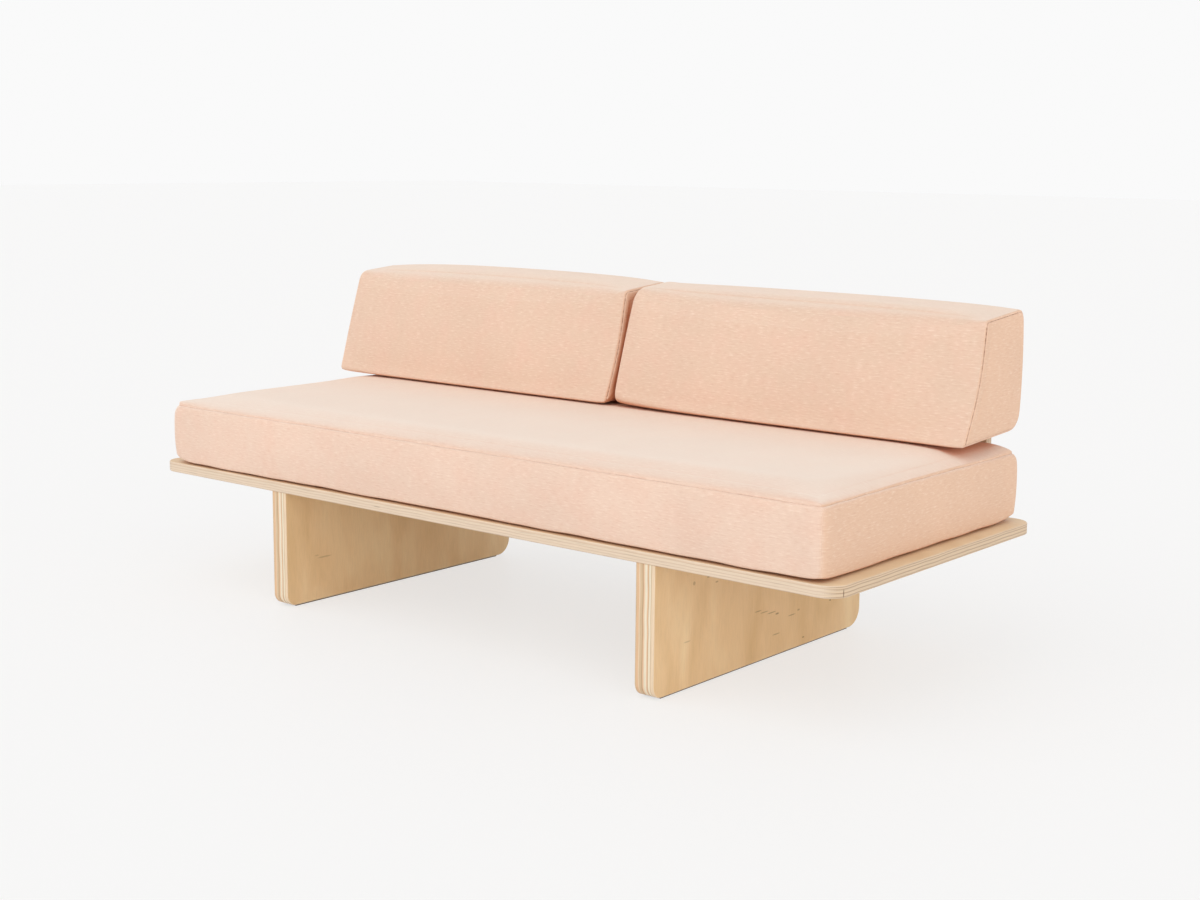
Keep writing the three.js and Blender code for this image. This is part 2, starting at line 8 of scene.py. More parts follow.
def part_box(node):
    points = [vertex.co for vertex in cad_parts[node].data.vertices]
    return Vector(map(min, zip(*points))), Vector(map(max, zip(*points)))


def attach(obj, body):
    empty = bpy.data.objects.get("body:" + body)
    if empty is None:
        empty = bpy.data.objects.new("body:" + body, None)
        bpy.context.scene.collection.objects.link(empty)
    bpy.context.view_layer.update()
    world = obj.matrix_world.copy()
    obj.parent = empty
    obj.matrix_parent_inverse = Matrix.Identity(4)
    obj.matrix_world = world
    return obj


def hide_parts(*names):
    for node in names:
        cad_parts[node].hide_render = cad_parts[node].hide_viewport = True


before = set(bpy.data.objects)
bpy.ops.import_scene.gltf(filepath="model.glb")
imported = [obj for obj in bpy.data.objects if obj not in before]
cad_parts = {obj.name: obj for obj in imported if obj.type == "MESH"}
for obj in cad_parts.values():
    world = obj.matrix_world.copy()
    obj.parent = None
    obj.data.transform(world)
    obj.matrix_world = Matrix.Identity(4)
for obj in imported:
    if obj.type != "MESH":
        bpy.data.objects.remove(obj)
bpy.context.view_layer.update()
mm = 0.001
print("frame loaded:", len(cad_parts), "nodes")


# Small helpers

def linear(hexColour):
    channels = []
    for start in (1, 3, 5):
        value = int(hexColour[start:start + 2], 16) / 255
        channels.append(value / 12.92 if value <= 0.04045 else ((value + 0.055) / 1.055) ** 2.4)
    return (*channels, 1.0)


def newMaterial(name):
    material = bpy.data.materials.new(name)
    material.use_nodes = True
    return material, material.node_tree, material.node_tree.nodes["Principled BSDF"]


def setInputs(tree, node, values):
    for key, value in values.items():
        if isinstance(value, bpy.types.NodeSocket):
            tree.links.new(value, node.inputs[key])
        else:
            node.inputs[key].default_value = value


def addNode(tree, kind, values=None, out=0, stops=None, **settings):
    # adds a node, sets it and links it, and gives back one of its outputs
    node = tree.nodes.new("ShaderNode" + kind)
    for key, value in settings.items():
        setattr(node, key, value)
    if stops:
        ramp = node.color_ramp
        while len(ramp.elements) < len(stops):
            ramp.elements.new(1.0)
        for element, (position, colour) in zip(ramp.elements, stops):
            element.position = position
            element.color = linear(colour) if isinstance(colour, str) else (colour, colour, colour, 1)
    setInputs(tree, node, values or {})
    return node.outputs[out]


def span(low, high, first=0.0, last=1.0):
    # what a MapRange node needs to turn low to high into first to last
    return {"From Min": low, "From Max": high, "To Min": first, "To Max": last}


def newObject(name, data):
    made = bpy.data.objects.new(name, data)
    bpy.context.scene.collection.objects.link(made)
    return made


def deselectAll():
    if bpy.context.object and bpy.context.object.mode != "OBJECT":
        bpy.ops.object.mode_set(mode="OBJECT")
    bpy.ops.object.select_all(action="DESELECT")


def makeActive(piece):
    deselectAll()
    piece.select_set(True)
    bpy.context.view_layer.objects.active = piece


def applyModifier(piece, name):
    makeActive(piece)
    bpy.ops.object.modifier_apply(modifier=name)


def smoothShade(piece, degrees):
    makeActive(piece)
    bpy.ops.object.shade_smooth_by_angle(angle=math.radians(degrees))


def paint(piece, material):
    piece.data.materials.clear()
    piece.data.materials.append(material)


def pointsOf(piece):
    places = np.empty(len(piece.data.vertices) * 3)
    piece.data.vertices.foreach_get("co", places)
    return places.reshape(-1, 3)


def movePoints(piece, places):
    piece.data.vertices.foreach_set("co", places.ravel())
    piece.data.update()


def distances(places, *lines):
    # how far each place is from the nearest of some closed lines
    dense = []
    for line in lines:
        closed = np.vstack([line, line[:1]])
        for a, b in zip(closed[:-1], closed[1:]):
            steps = max(1, int(np.linalg.norm(b - a) / (1.5 * mm)))
            dense.extend(a + (b - a) * s / steps for s in range(steps))
    tree = kdtree.KDTree(len(dense))
    for index, point in enumerate(dense):
        tree.insert(point, index)
    tree.balance()
    return np.array([tree.find(place)[2] for place in places])


# Camera, floor and light

cameraLook = {
    "place": (2.663, -3.110, 1.094),
    "turn": 39.47,  # degrees away from looking straight back
    "tilt": 9.66,  # degrees downwards
    "roll": 0.55,
    "lens": 53.03,
}

stageLook = {
    "floorSize": 80,
    "floorColour": "#f8f7f6",
    "floorRoughness": 0.42,
    "floorSeen": "#f8f8f8",
    "floorSeenShare": 0.70,  # how much of the floor that the camera sees is plain white
    "skyLow": 1.06,
    "skyHigh": 0.56,
    "skySeen": 0.955,
}
# soft windows: name, strength, colour, spread in degrees so that shadows stay soft, height, and turn from
# the front
windows = [
    ("front window", 0.80, (1, 1, 1), 70, 50, -22),
    ("right window", 0.70, (1, 0.96, 0.90), 60, 16, 62),
]


def makeCamera():
    data = bpy.data.cameras.new("photo_camera")
    data.lens = cameraLook["lens"]
    data.sensor_width = 36
    data.clip_end = 200
    camera = newObject("photo_camera", data)
    turn = Matrix.Rotation(math.radians(cameraLook["turn"]), 4, "Z")
    tilt = Matrix.Rotation(math.radians(90 - cameraLook["tilt"]), 4, "X")
    roll = Matrix.Rotation(math.radians(cameraLook["roll"]), 4, "Z")
    camera.matrix_world = Matrix.Translation(cameraLook["place"]) @ turn @ tilt @ roll
    bpy.context.scene.camera = camera


def seenDirectly(tree):
    # 1 where the camera, a reflection or glass looks, and 0 where something is only lit
    path = addNode(tree, "LightPath").node.outputs
    seen = addNode(tree, "Math", {0: path["Is Camera Ray"], 1: path["Is Glossy Ray"]},
                   operation="MAXIMUM")
    return addNode(tree, "Math", {0: seen, 1: path["Is Transmission Ray"]}, operation="MAXIMUM")


def makeFloor():
    deselectAll()
    bpy.ops.mesh.primitive_plane_add(size=stageLook["floorSize"])
    floor = bpy.context.object
    floor.name = "studio_floor"
    material, tree, shader = newMaterial("painted studio floor")
    setInputs(tree, shader, {
        "Base Color": linear(stageLook["floorColour"]),
        "Roughness": stageLook["floorRoughness"],
        "Specular IOR Level": 0.12,
    })
    # the camera and reflections see it closer to white, and its shadows fainter
    white = addNode(tree, "Emission", {"Color": linear(stageLook["floorSeen"]), "Strength": 1.0})
    share = addNode(tree, "Math", {0: seenDirectly(tree), 1: stageLook["floorSeenShare"]},
                    operation="MULTIPLY")
    mixed = addNode(tree, "MixShader", {0: share, 1: shader.outputs[0], 2: white})
    tree.links.new(mixed, tree.nodes["Material Output"].inputs["Surface"])
    paint(floor, material)


def makeLight():
    world = bpy.data.worlds.new("soft studio")
    world.use_nodes = True
    bpy.context.scene.world = world
    tree = world.node_tree
    height = addNode(tree, "SeparateXYZ", {0: addNode(tree, "TexCoord", out="Generated")}, out="Z")
    sky = span(0.0, 1.0, stageLook["skyLow"], stageLook["skyHigh"])
    light = addNode(tree, "MapRange", {"Value": height, **sky})
    strength = addNode(tree, "Mix", {"Factor": seenDirectly(tree), 2: light, 3: stageLook["skySeen"]})
    setInputs(tree, tree.nodes["Background"], {"Color": (1, 1, 1, 1), "Strength": strength})
    for name, energy, colour, spread, height, side in windows:
        data = bpy.data.lights.new(name, "SUN")
        data.energy = energy
        data.color = colour
        data.angle = math.radians(spread)
        turn = Matrix.Rotation(math.radians(side), 4, "Z")
        tilt = Matrix.Rotation(math.radians(90 - height), 4, "X")
        newObject(name, data).matrix_world = turn @ tilt
    bpy.context.scene.view_settings.view_transform = "Standard"


makeCamera()
makeFloor()
makeLight()
print("stage made")


# Birch plywood: rotary-cut veneer on the faces, and a stack of thin plies with glue lines on every cut edge

plywoodLook = {
    "streakLength": 70 * mm,
    "streakWidth": 1.1 * mm,
    "figureLength": 300 * mm,
    "figureWidth": 120 * mm,
    "poreLength": 26 * mm,
    "poreWidth": 1.3 * mm,
    "plyWander": 1.8 * mm,
    "relief": 0.4 * mm,
    "roughness": (0.42, 0.6),
    "mark": "#5a3a22",
}

# What shows on a cut edge, from the low face up: from where to where in mm, and which tone. Plies whose grain
# runs along the edge are pale, those that are cut across are darker, and glue lines are darkest
def plyStack(tones, plies):
    return [(at, tones[kind]) for start, end, kind in plies for at in (start, end)]


deckFrontPlies = plyStack({"along": "#e1cdb6", "across": "#dfc6ac", "glue": "#d1b89f"}, [
    (0, 1, "glue"), (2.2, 5.4, "along"), (6.3, 6.5, "glue"), (7.6, 11, "along"), (12.1, 12.3, "glue"),
    (13.8, 17.4, "along"), (18.5, 18.7, "glue"), (20.6, 21, "across"), (22.2, 24, "along"),
])
deckEndPlies = plyStack({"along": "#dbc4a7", "glue": "#b6977d"}, [
    (0, 1.8, "along"), (2.9, 3.1, "glue"), (4.6, 8.2, "along"), (9.7, 9.9, "glue"), (11.8, 15.6, "along"),
    (17.1, 17.3, "glue"), (18.8, 20.4, "along"), (21.5, 21.7, "glue"), (22.8, 24, "along"),
])
# each leg is two boards, and the outer plies of both are warmer
legTones = {"pale": "#eadec6", "along": "#e8d1b4", "across": "#d2b794", "warm": "#dfb994", "glue": "#b79474"}
legPlies = plyStack(legTones, [
    (0, 3.2, "across"), (4.6, 9, "warm"), (10.4, 10.6, "along"), (13, 17.5, "across"), (19.1, 19.3, "glue"),
    (20.9, 21.1, "warm"), (23.6, 24, "along"), (25, 29.5, "pale"), (31, 33, "warm"), (33.7, 33.9, "glue"),
    (34.8, 38.5, "pale"), (40, 40.4, "across"), (42, 48, "along"),
])


def stretched(tree, coords, along, across, grain):
    # coordinates that count grain lengths along the grain axis and grain widths across it
    scale = [1 / across] * 3
    scale[grain] = 1 / along
    return addNode(tree, "Mapping", {"Vector": coords, "Scale": scale})


def plywood(name, thicknessAxis, grain, low, thickness, sidePlies, endPlies, faceTones, marks=()):
    material, tree, shader = newMaterial(name)
    look = plywoodLook
    coords = addNode(tree, "TexCoord", out="Object")
    place = addNode(tree, "SeparateXYZ", {0: coords}).node.outputs
    normal = addNode(tree, "NewGeometry", out="True Normal")
    normal = addNode(tree, "SeparateXYZ", {0: normal}).node.outputs

    # plies on the edges: their borders wander a little, and the edge that cuts across the grain is darker
    wander = addNode(tree, "TexNoise", {"Vector": coords, "Scale": 14.0, "Detail": 2.0})
    wavy = addNode(tree, "MapRange", {"Value": wander, **span(0, 1, -look["plyWander"], look["plyWander"])})
    depth = addNode(tree, "Math", {0: place[thicknessAxis], 1: wavy}, operation="ADD")
    layer = addNode(tree, "MapRange", {"Value": depth, **span(low, low + thickness)})
    edges = []
    for plies in (sidePlies, endPlies):
        stops = [(at * mm / thickness, tone) for at, tone in plies]
        edges.append(addNode(tree, "ValToRGB", {"Fac": layer}, stops=stops))
    across = addNode(tree, "Math", {0: normal[grain]}, operation="ABSOLUTE")
    across = addNode(tree, "MapRange", {"Value": across, **span(0.3, 0.8)})
    edge = addNode(tree, "Mix", {"Factor": across, 6: edges[0], 7: edges[1]}, out=2, data_type="RGBA")
    streakSize = [look["streakLength"]] * 3
    streakSize[thicknessAxis] = look["streakWidth"]
    streakCoords = addNode(tree, "Mapping", {"Vector": coords, "Scale": [1 / size for size in streakSize]})
    streak = addNode(tree, "TexNoise", {"Vector": streakCoords, "Scale": 1.0, "Detail": 3.0})
    streakTone = addNode(tree, "ValToRGB", {"Fac": streak}, stops=[(0.28, 0.80), (0.42, 0.97), (0.7, 1.04)])
    edge = addNode(tree, "Mix", {"Factor": 1.0, 6: edge, 7: streakTone}, out=2, data_type="RGBA",
                   blend_type="MULTIPLY")

    # rotary-cut face veneer
    figureCoords = stretched(tree, coords, look["figureLength"], look["figureWidth"], grain)
    figure = addNode(tree, "TexNoise", {"Vector": figureCoords, "Scale": 1.0, "Detail": 4.0,
                                        "Roughness": 0.5, "Distortion": 0.5})
    face = addNode(tree, "ValToRGB", {"Fac": figure},
                   stops=[(0.28, faceTones[0]), (0.5, faceTones[1]), (0.72, faceTones[2])])
    poreCoords = stretched(tree, coords, look["poreLength"], look["poreWidth"], grain)
    pores = addNode(tree, "TexNoise", {"Vector": poreCoords, "Scale": 1.0, "Detail": 3.0})
    poreTone = addNode(tree, "ValToRGB", {"Fac": pores}, stops=[(0.3, 0.93), (0.55, 1.0), (0.8, 1.03)])
    face = addNode(tree, "Mix", {"Factor": 1.0, 6: face, 7: poreTone}, out=2, data_type="RGBA",
                   blend_type="MULTIPLY")
    # an edge is whatever doesn't face along the thickness
    facing = addNode(tree, "Math", {0: normal[thicknessAxis]}, operation="ABSOLUTE")
    isFace = addNode(tree, "MapRange", {"Value": facing, **span(0.85, 0.95)})
    colour = addNode(tree, "Mix", {"Factor": isFace, 6: edge, 7: face}, out=2, data_type="RGBA")
    for middle, size, strength in marks:
        away = addNode(tree, "VectorMath", {0: coords, 1: middle}, operation="SUBTRACT")
        away = addNode(tree, "VectorMath", {0: away, 1: [1 / s for s in size]}, operation="MULTIPLY")
        away = addNode(tree, "VectorMath", {0: away}, operation="LENGTH", out="Value")
        near = addNode(tree, "MapRange", {"Value": away, **span(0.6, 1, strength, 0)})
        colour = addNode(tree, "Mix", {"Factor": near, 6: colour, 7: linear(look["mark"])}, out=2,
                         data_type="RGBA")

    rough = addNode(tree, "MapRange", {"Value": pores, **span(0, 1, *look["roughness"])})
    relief = addNode(tree, "Mix", {"Factor": isFace, 2: streak, 3: pores})
    bump = addNode(tree, "Bump", {"Height": relief, "Strength": 0.12,
                                  "Distance": look["relief"]})
    setInputs(tree, shader, {"Base Color": colour, "Roughness": rough, "Normal": bump,
                             "Specular IOR Level": 0.35, "IOR": 1.5})
    return material


def finerBoard(nodeName, pieceName, material):
    # a merged copy of the board, so that its round corners shade smoothly
    piece = newObject(pieceName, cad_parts[nodeName].data.copy())
    makeActive(piece)
    bpy.ops.object.mode_set(mode="EDIT")
    bpy.ops.mesh.select_all(action="SELECT")
    bpy.ops.mesh.remove_doubles(threshold=0.01 * mm)
    bpy.ops.mesh.dissolve_limited(angle_limit=math.radians(0.5))
    bpy.ops.object.mode_set(mode="OBJECT")
    smoothShade(piece, 30)
    paint(piece, material)
    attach(piece, "frame")
    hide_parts(nodeName)


deckLow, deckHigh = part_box("deck_panel")
boardThickness = deckHigh.z - deckLow.z
deckTones = ["#dfc19b", "#e5caa5", "#ebd3b1"]
# a joint between two pieces of core veneer near the front right corner, and a short split in the front edge
deckMarks = [
    ((0.998, -0.377, deckLow.z + 9 * mm), (6 * mm, 1.3 * mm, 10 * mm), 0.75),
    ((-0.213, -0.40775, deckLow.z + 11 * mm), (13 * mm, 4 * mm, 0.9 * mm), 0.5),
]
deckWood = plywood("birch plywood, clear oiled", 2, 0, deckLow.z, boardThickness, deckFrontPlies,
                   deckEndPlies, deckTones, deckMarks)
finerBoard("deck_panel", "deck_board", deckWood)

# small brown growth marks on the leg faces: depth and height in mm, half sizes in mm, strength
legMarks = {
    "left": [
        (-285, 107, 26, 2.4, 0.28), (-310, 114, 8, 2, 0.2),
    ],
    "right": [
        (251.8, 84.6, 2.6, 2.2, 0.9), (143, 20.4, 5, 2.4, 0.5), (121, 88, 6, 2.6, 0.4),
        (94, 81.5, 17, 1.5, 0.45), (36, 96, 8, 2.4, 0.55), (34, 50.2, 17, 1.6, 0.4),
        (14, 102.5, 20, 1.5, 0.45), (-14, 109, 18, 1.5, 0.4), (-38, 115.5, 15, 1.5, 0.45),
        (-193, 210, 6, 2.2, 0.4), (-222, 226, 7, 2.2, 0.45), (-272, 221, 5, 5, 0.35),
        (-293, 102, 14, 1.8, 0.25),
    ],
}
for side, spots in legMarks.items():
    boards = [f"{side}_leg_outer_board", f"{side}_leg_inner_board"]
    legLow = min(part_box(board)[0].x for board in boards)
    legHigh = max(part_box(board)[1].x for board in boards)
    marks = [((legHigh, y * mm, z * mm), (4 * mm, long * mm, tall * mm), strength)
             for y, z, long, tall, strength in spots]
    legWood = plywood(f"birch plywood, {side} leg", 0, 2, legLow, legHigh - legLow, legPlies, legPlies,
                      ["#dab787", "#e6c599", "#eed4ab"], marks)
    for board in boards:
        finerBoard(board, board.replace("board", "ply_board"), legWood)

panelLow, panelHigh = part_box("back_panel")
panelWood = plywood("birch plywood, back panel", 1, 0, panelLow.y, panelHigh.y - panelLow.y, deckFrontPlies,
                    deckEndPlies, deckTones)
finerBoard("back_panel", "back_panel_board", panelWood)
print("boards made")


# Fixings

# by the ends of node names: material, its pattern, its two tones, strength and depth of its relief, lowest
# and highest roughness, what else it is, and for wood the length and width of the grain
fixingLooks = {
    "dowel": ("turned beech", "TexNoise", {"Scale": 1.0}, [(0.35, "#b98a5a"), (0.6, "#d9b382")],
              (0, 1 * mm), (0.7, 0.7), {}, (9 * mm, 0.7 * mm)),
    # the felt is given a dark tone, partly its own colour and partly painted shade for the thin dark line
    # under each leg
    "felt": ("pressed wool felt, darkened as shade", "TexNoise", {"Scale": 1 / (1.5 * mm), "Detail": 4.0},
             [(0.3, "#4a3d33"), (0.7, "#7b6857")], (0.6, 0.4 * mm), (1, 1), {"Sheen Weight": 0.3}),
    "insert": ("turned brass", "TexNoise", {"Scale": 1 / (1.5 * mm), "Detail": 3.0},
               [(0.35, "#b8934a"), (0.65, "#d3b168")], (0.1, 0.05 * mm), (0.25, 0.4), {"Metallic": 1.0}),
    ("bolt", "nut", "slider"): (
        "zinc-plated steel", "TexNoise", {"Scale": 1 / (2 * mm), "Detail": 3.0},
        [(0.35, "#a9acb0"), (0.65, "#c9ccd0")], (0.1, 0.05 * mm), (0.28, 0.45), {"Metallic": 1.0}),
    # woven tape, with coil teeth 1.5 mm apart along the middle ridge
    "zip": ("nylon coil zip", "TexWave", {"Scale": 0.314 / (1.5 * mm)},
            [(0.2, "#c79f88"), (0.7, "#e2c2ae")], (0.5, 0.3 * mm), (0.6, 0.6), {}),
}


def fixing(name, kind, pattern, tones, relief, roughness, others, grain=None):
    material, tree, shader = newMaterial(name)
    coords = addNode(tree, "TexCoord", out="Object")
    if grain:
        coords = stretched(tree, coords, *grain, 2)
    cloud = addNode(tree, kind, {"Vector": coords, **pattern}, out="Fac")
    colour = addNode(tree, "ValToRGB", {"Fac": cloud}, stops=tones)
    rough = addNode(tree, "MapRange", {"Value": cloud, **span(0, 1, *roughness)})
    bump = addNode(tree, "Bump", {"Height": cloud, "Strength": relief[0], "Distance": relief[1]})
    setInputs(tree, shader, {"Base Color": colour, "Roughness": rough, "Normal": bump, **others})
    return material


for ending, fixingLook in fixingLooks.items():
    fixingMaterial = fixing(*fixingLook)
    for nodeName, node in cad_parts.items():
        if nodeName.rstrip("_1234").endswith(ending):
            paint(node, fixingMaterial)
print("fixings painted")


# Wool upholstery: a melange plain weave in peach, with lighter and darker slubs along the length

clothLook = {
    "across": "#e9c5ab",  # painted shade: the end panels, which face sideways, are painted warmer and darker
    "paintedLightTone": "#f6eee4",  # painted light: the cloth is painted paler where it faces up and to the front-left, where the light comes from
    "paintedLightFrom": (-0.35, -0.35, 0.87),
    "blush": "#ebc4b0",  # patches of a pinker yarn
    "deep": "#dc9871",  # in narrow gaps the light goes from cloth to cloth and turns warm
    "lightSlub": "#fbe6d6",
    "darkSlub": "#cf9c80",
    "sheen": "#f6dccb",
    # painted shade in the seam's crease
    "seam": "#8a5238",
    "blushShare": 0.4,
    "lightShare": 0.45,
    "darkShare": 0.28,
    "thread": 2.4 * mm,  # the real thread is about 1 mm, which would not show
    "slubLength": 17 * mm,  # real slubs are about half as long and wide, and would blur away
    "slubWidth": 3.0 * mm,
    "cloud": 240 * mm,
    "blushSize": 70 * mm,
    "fuzz": 1.4 * mm,
    "weaveDepth": 0.35 * mm,
    "seamEdge": (0.4 * mm, 1.7 * mm),  # the crease fades out from here to there
    "stitch": 8 * mm,
    "pull": 150 * mm,  # the thread is pulled tighter in some places than in others
    "tuck": 14 * mm,
    "tuckDepth": 2.5 * mm,
    "tuckReach": 22 * mm,
    "gapReach": 300 * mm,
}


def woolCloth(name, base, seamShade, paintedLightShare):
    material, tree, shader = newMaterial(name)
    look = clothLook
    coords = addNode(tree, "UVMap", uv_map="cloth")
    threads = []
    for direction in ("X", "Y"):
        threads.append(addNode(tree, "TexWave", {"Vector": coords, "Scale": 0.314 / look["thread"],
                                                 "Distortion": 1.2, "Detail": 1.0, "Detail Scale": 0.6},
                               out="Fac", bands_direction=direction))
    weave = addNode(tree, "Math", {0: threads[0], 1: threads[1]}, operation="MULTIPLY")
    slubCoords = addNode(tree, "Mapping", {"Vector": coords,
                                           "Scale": (1 / look["slubLength"], 1 / look["slubWidth"], 1)})
    slubs = addNode(tree, "TexNoise", {"Vector": slubCoords, "Scale": 1.0, "Detail": 2.0, "Roughness": 0.6})
    lightOnes = addNode(tree, "MapRange", {"Value": slubs, **span(0.54, 0.72, 0, look["lightShare"])})
    darkOnes = addNode(tree, "MapRange", {"Value": slubs, **span(0.44, 0.26, 0, look["darkShare"])})
    cloud = addNode(tree, "TexNoise", {"Vector": coords, "Scale": 1 / look["cloud"], "Detail": 3.0})
    cloudTone = addNode(tree, "ValToRGB", {"Fac": cloud}, stops=[(0.3, 0.965), (0.7, 1.02)])
    normal = addNode(tree, "TexCoord", out="Normal")
    # painted shade: faces that look along the length, the end panels, take the warmer, darker end tone
    across = addNode(tree, "SeparateXYZ", {0: normal}, out="X")
    across = addNode(tree, "Math", {0: across}, operation="ABSOLUTE")
    across = addNode(tree, "MapRange", {"Value": across, **span(0.5, 0.9)})
    blush = addNode(tree, "TexNoise", {"Vector": coords, "Scale": 1 / look["blushSize"], "Detail": 2.0})
    blush = addNode(tree, "MapRange", {"Value": blush, **span(0.40, 0.70, 0, look["blushShare"])})
    weaveTone = addNode(tree, "ValToRGB", {"Fac": weave}, stops=[(0.0, 0.95), (0.6, 1.03)])

    # the seam's crease is painted dark, as painted shade, broken by its stitches
    seam = addNode(tree, "Attribute", attribute_name="seamDistance", out="Fac")
    place = addNode(tree, "TexCoord", out="Object")
    crease = addNode(tree, "MapRange", {"Value": seam, **span(*look["seamEdge"], seamShade, 0)})
    for size, low, high in ((look["stitch"], 0.38, 0.6), (look["pull"], 0.35, 0.65)):
        broken = addNode(tree, "TexNoise", {"Vector": place, "Scale": 1 / size, "Detail": 1.0})
        broken = addNode(tree, "MapRange", {"Value": broken, **span(low, high, 0.55, 1)})
        crease = addNode(tree, "Math", {0: crease, 1: broken}, operation="MULTIPLY")

    # painted light: the cloth is painted paler where it faces the light and where it is seen aslant, as a
    # painted sheen, and less so where ambient occlusion finds another piece close by
    towardsLight = addNode(tree, "VectorMath", {0: normal, 1: look["paintedLightFrom"]}, operation="DOT_PRODUCT",
                  out="Value")
    paintedLight = addNode(tree, "MapRange", {"Value": towardsLight, **span(0.40, 0.84, 0, paintedLightShare)},
                  interpolation_type="SMOOTHSTEP")
    aslant = addNode(tree, "LayerWeight", {"Blend": 0.5}, out="Facing")
    aslant = addNode(tree, "MapRange", {"Value": aslant, **span(0.40, 0.80)},
                     interpolation_type="SMOOTHSTEP")
    exposed = addNode(tree, "AmbientOcclusion", {"Distance": look["gapReach"]}, out="AO", samples=8)
    clear = addNode(tree, "MapRange", {"Value": exposed, **span(0.45, 0.95)})
    for less in (aslant, clear):
        paintedLight = addNode(tree, "Math", {0: paintedLight, 1: less}, operation="MULTIPLY")
    gap = addNode(tree, "MapRange", {"Value": exposed, **span(0.10, 0.44, 1, 0)})

    # colours over the yarn's own: another colour by its share, and a tone that multiplies all
    layers = [
        (blush, "blush"), (across, "across"), (lightOnes, "lightSlub"), (darkOnes, "darkSlub"),
        (1.0, cloudTone), (1.0, weaveTone), (crease, "seam"), (gap, "deep"), (paintedLight, "paintedLightTone"),
    ]
    colour = linear(base)
    for share, tone in layers:
        blend = "MULTIPLY"
        if isinstance(tone, str):
            blend, tone = "MIX", linear(look[tone])
        colour = addNode(tree, "Mix", {"Factor": share, 6: colour, 7: tone}, out=2, data_type="RGBA",
                         blend_type=blend)

    # little tucks run out from the seam
    tucks = addNode(tree, "TexNoise", {"Vector": place, "Scale": 1 / look["tuck"], "Detail": 2.0})
    nearSeam = addNode(tree, "MapRange", {"Value": seam, **span(1 * mm, look["tuckReach"], 1, 0)},
                       interpolation_type="SMOOTHSTEP")
    tucks = addNode(tree, "Math", {0: tucks, 1: nearSeam}, operation="MULTIPLY")
    fuzz = addNode(tree, "TexNoise", {"Vector": coords, "Scale": 1 / look["fuzz"], "Detail": 3.0})
    relief = addNode(tree, "Math", {0: weave, 1: slubs}, operation="ADD")
    relief = addNode(tree, "Math", {0: relief, 1: fuzz}, operation="ADD")
    bump = addNode(tree, "Bump", {"Height": tucks, "Strength": 0.5, "Distance": look["tuckDepth"]})
    bump = addNode(tree, "Bump", {"Height": relief, "Strength": 0.55, "Distance": look["weaveDepth"],
                                  "Normal": bump})
    setInputs(tree, shader, {
        "Base Color": colour,
        "Roughness": 0.95,
        "Specular IOR Level": 0.1,
        "Sheen Weight": 0.3,
        "Sheen Roughness": 0.4,
        "Sheen Tint": linear(look["sheen"]),
        "Normal": bump,
    })
    return material


mattressCloth = woolCloth("melange wool upholstery, mattress", "#ebcebb", 0.36, 0.64)
bolsterCloth = woolCloth("melange wool upholstery, bolsters", "#e6c8b2", 1.0, 0.45)


# Padded pieces. Each is a closed net of squares: rings of points stacked along one axis, and a patch over
# each end

def sideNormal(fromPoint, toPoint):
    step = toPoint - fromPoint
    return np.array([-step[1], step[0]]) / np.linalg.norm(step)


def bendPoint(enter, corner, leave, share):
    return enter * (1 - share) ** 2 + corner * 2 * share * (1 - share) + leave * share ** 2


def packed(count, packing):
    # shares from 0 to 1 that lie closer together at both ends
    shares = np.arange(count + 1) / count
    return shares - packing * np.sin(2 * math.pi * shares) / (2 * math.pi)


def softLoop(corners, counts, halfBend, packing, inset=0.0, bowShare=1.0):
    # a loop inside the corners by the inset, from the middle of the first bend. Each corner is
    # (place, reach of its bend, how far the side after it bows out)
    total = len(corners)
    places = []
    for i, (at, reach, bow) in enumerate(corners):
        before = sideNormal(corners[i - 1][0], at)
        after = sideNormal(at, corners[(i + 1) % total][0])
        places.append(at + (before + after) * inset / (1 + before @ after))
    bends = []
    for i, (at, reach, bow) in enumerate(corners):
        here = places[i]
        toBefore = places[i - 1] - here
        toAfter = places[(i + 1) % total] - here
        bend = max(reach - inset, reach / 4)
        bends.append((here + toBefore / np.linalg.norm(toBefore) * bend, here,
                      here + toAfter / np.linalg.norm(toAfter) * bend))
    loop = []
    for i, (at, reach, bow) in enumerate(corners):
        bend = bends[i]
        nextBend = bends[(i + 1) % total]
        for step in range(halfBend):
            loop.append(bendPoint(*bend, 0.5 + 0.5 * step / halfBend))
        outward = -sideNormal(bend[2], nextBend[0])
        for share in packed(counts[i % 2], packing)[:-1]:
            point = bend[2] + (nextBend[0] - bend[2]) * share
            loop.append(point + outward * math.sin(math.pi * share) ** 1.6 * bow * bowShare)
        for step in range(halfBend):
            loop.append(bendPoint(*nextBend, 0.5 * step / halfBend))
    return np.array(loop)


def patchBetween(loop, first, second):
    # a grid over a loop whose four sides have first, second, first and second cells
    bottom = loop[:first + 1]
    right = loop[first:first + second + 1]
    top = loop[first + second:2 * first + second + 1][::-1]
    left = np.vstack([loop[2 * first + second:], loop[:1]])[::-1]

    def shares(side, other):
        lengths = [np.concatenate([[0], np.cumsum(np.linalg.norm(np.diff(s, axis=0), axis=1))])
                   for s in (side, other)]
        return sum(length / length[-1] for length in lengths) / 2

    u = shares(bottom, top)[:, None, None]
    v = shares(left, right)[None, :, None]
    across = (1 - v) * bottom[:, None] + v * top[:, None]
    along = (1 - u) * left[None] + u * right[None]
    corners = ((1 - u) * (1 - v) * bottom[0] + u * (1 - v) * bottom[-1]
               + (1 - u) * v * top[0] + u * v * top[-1])
    return across + along - corners


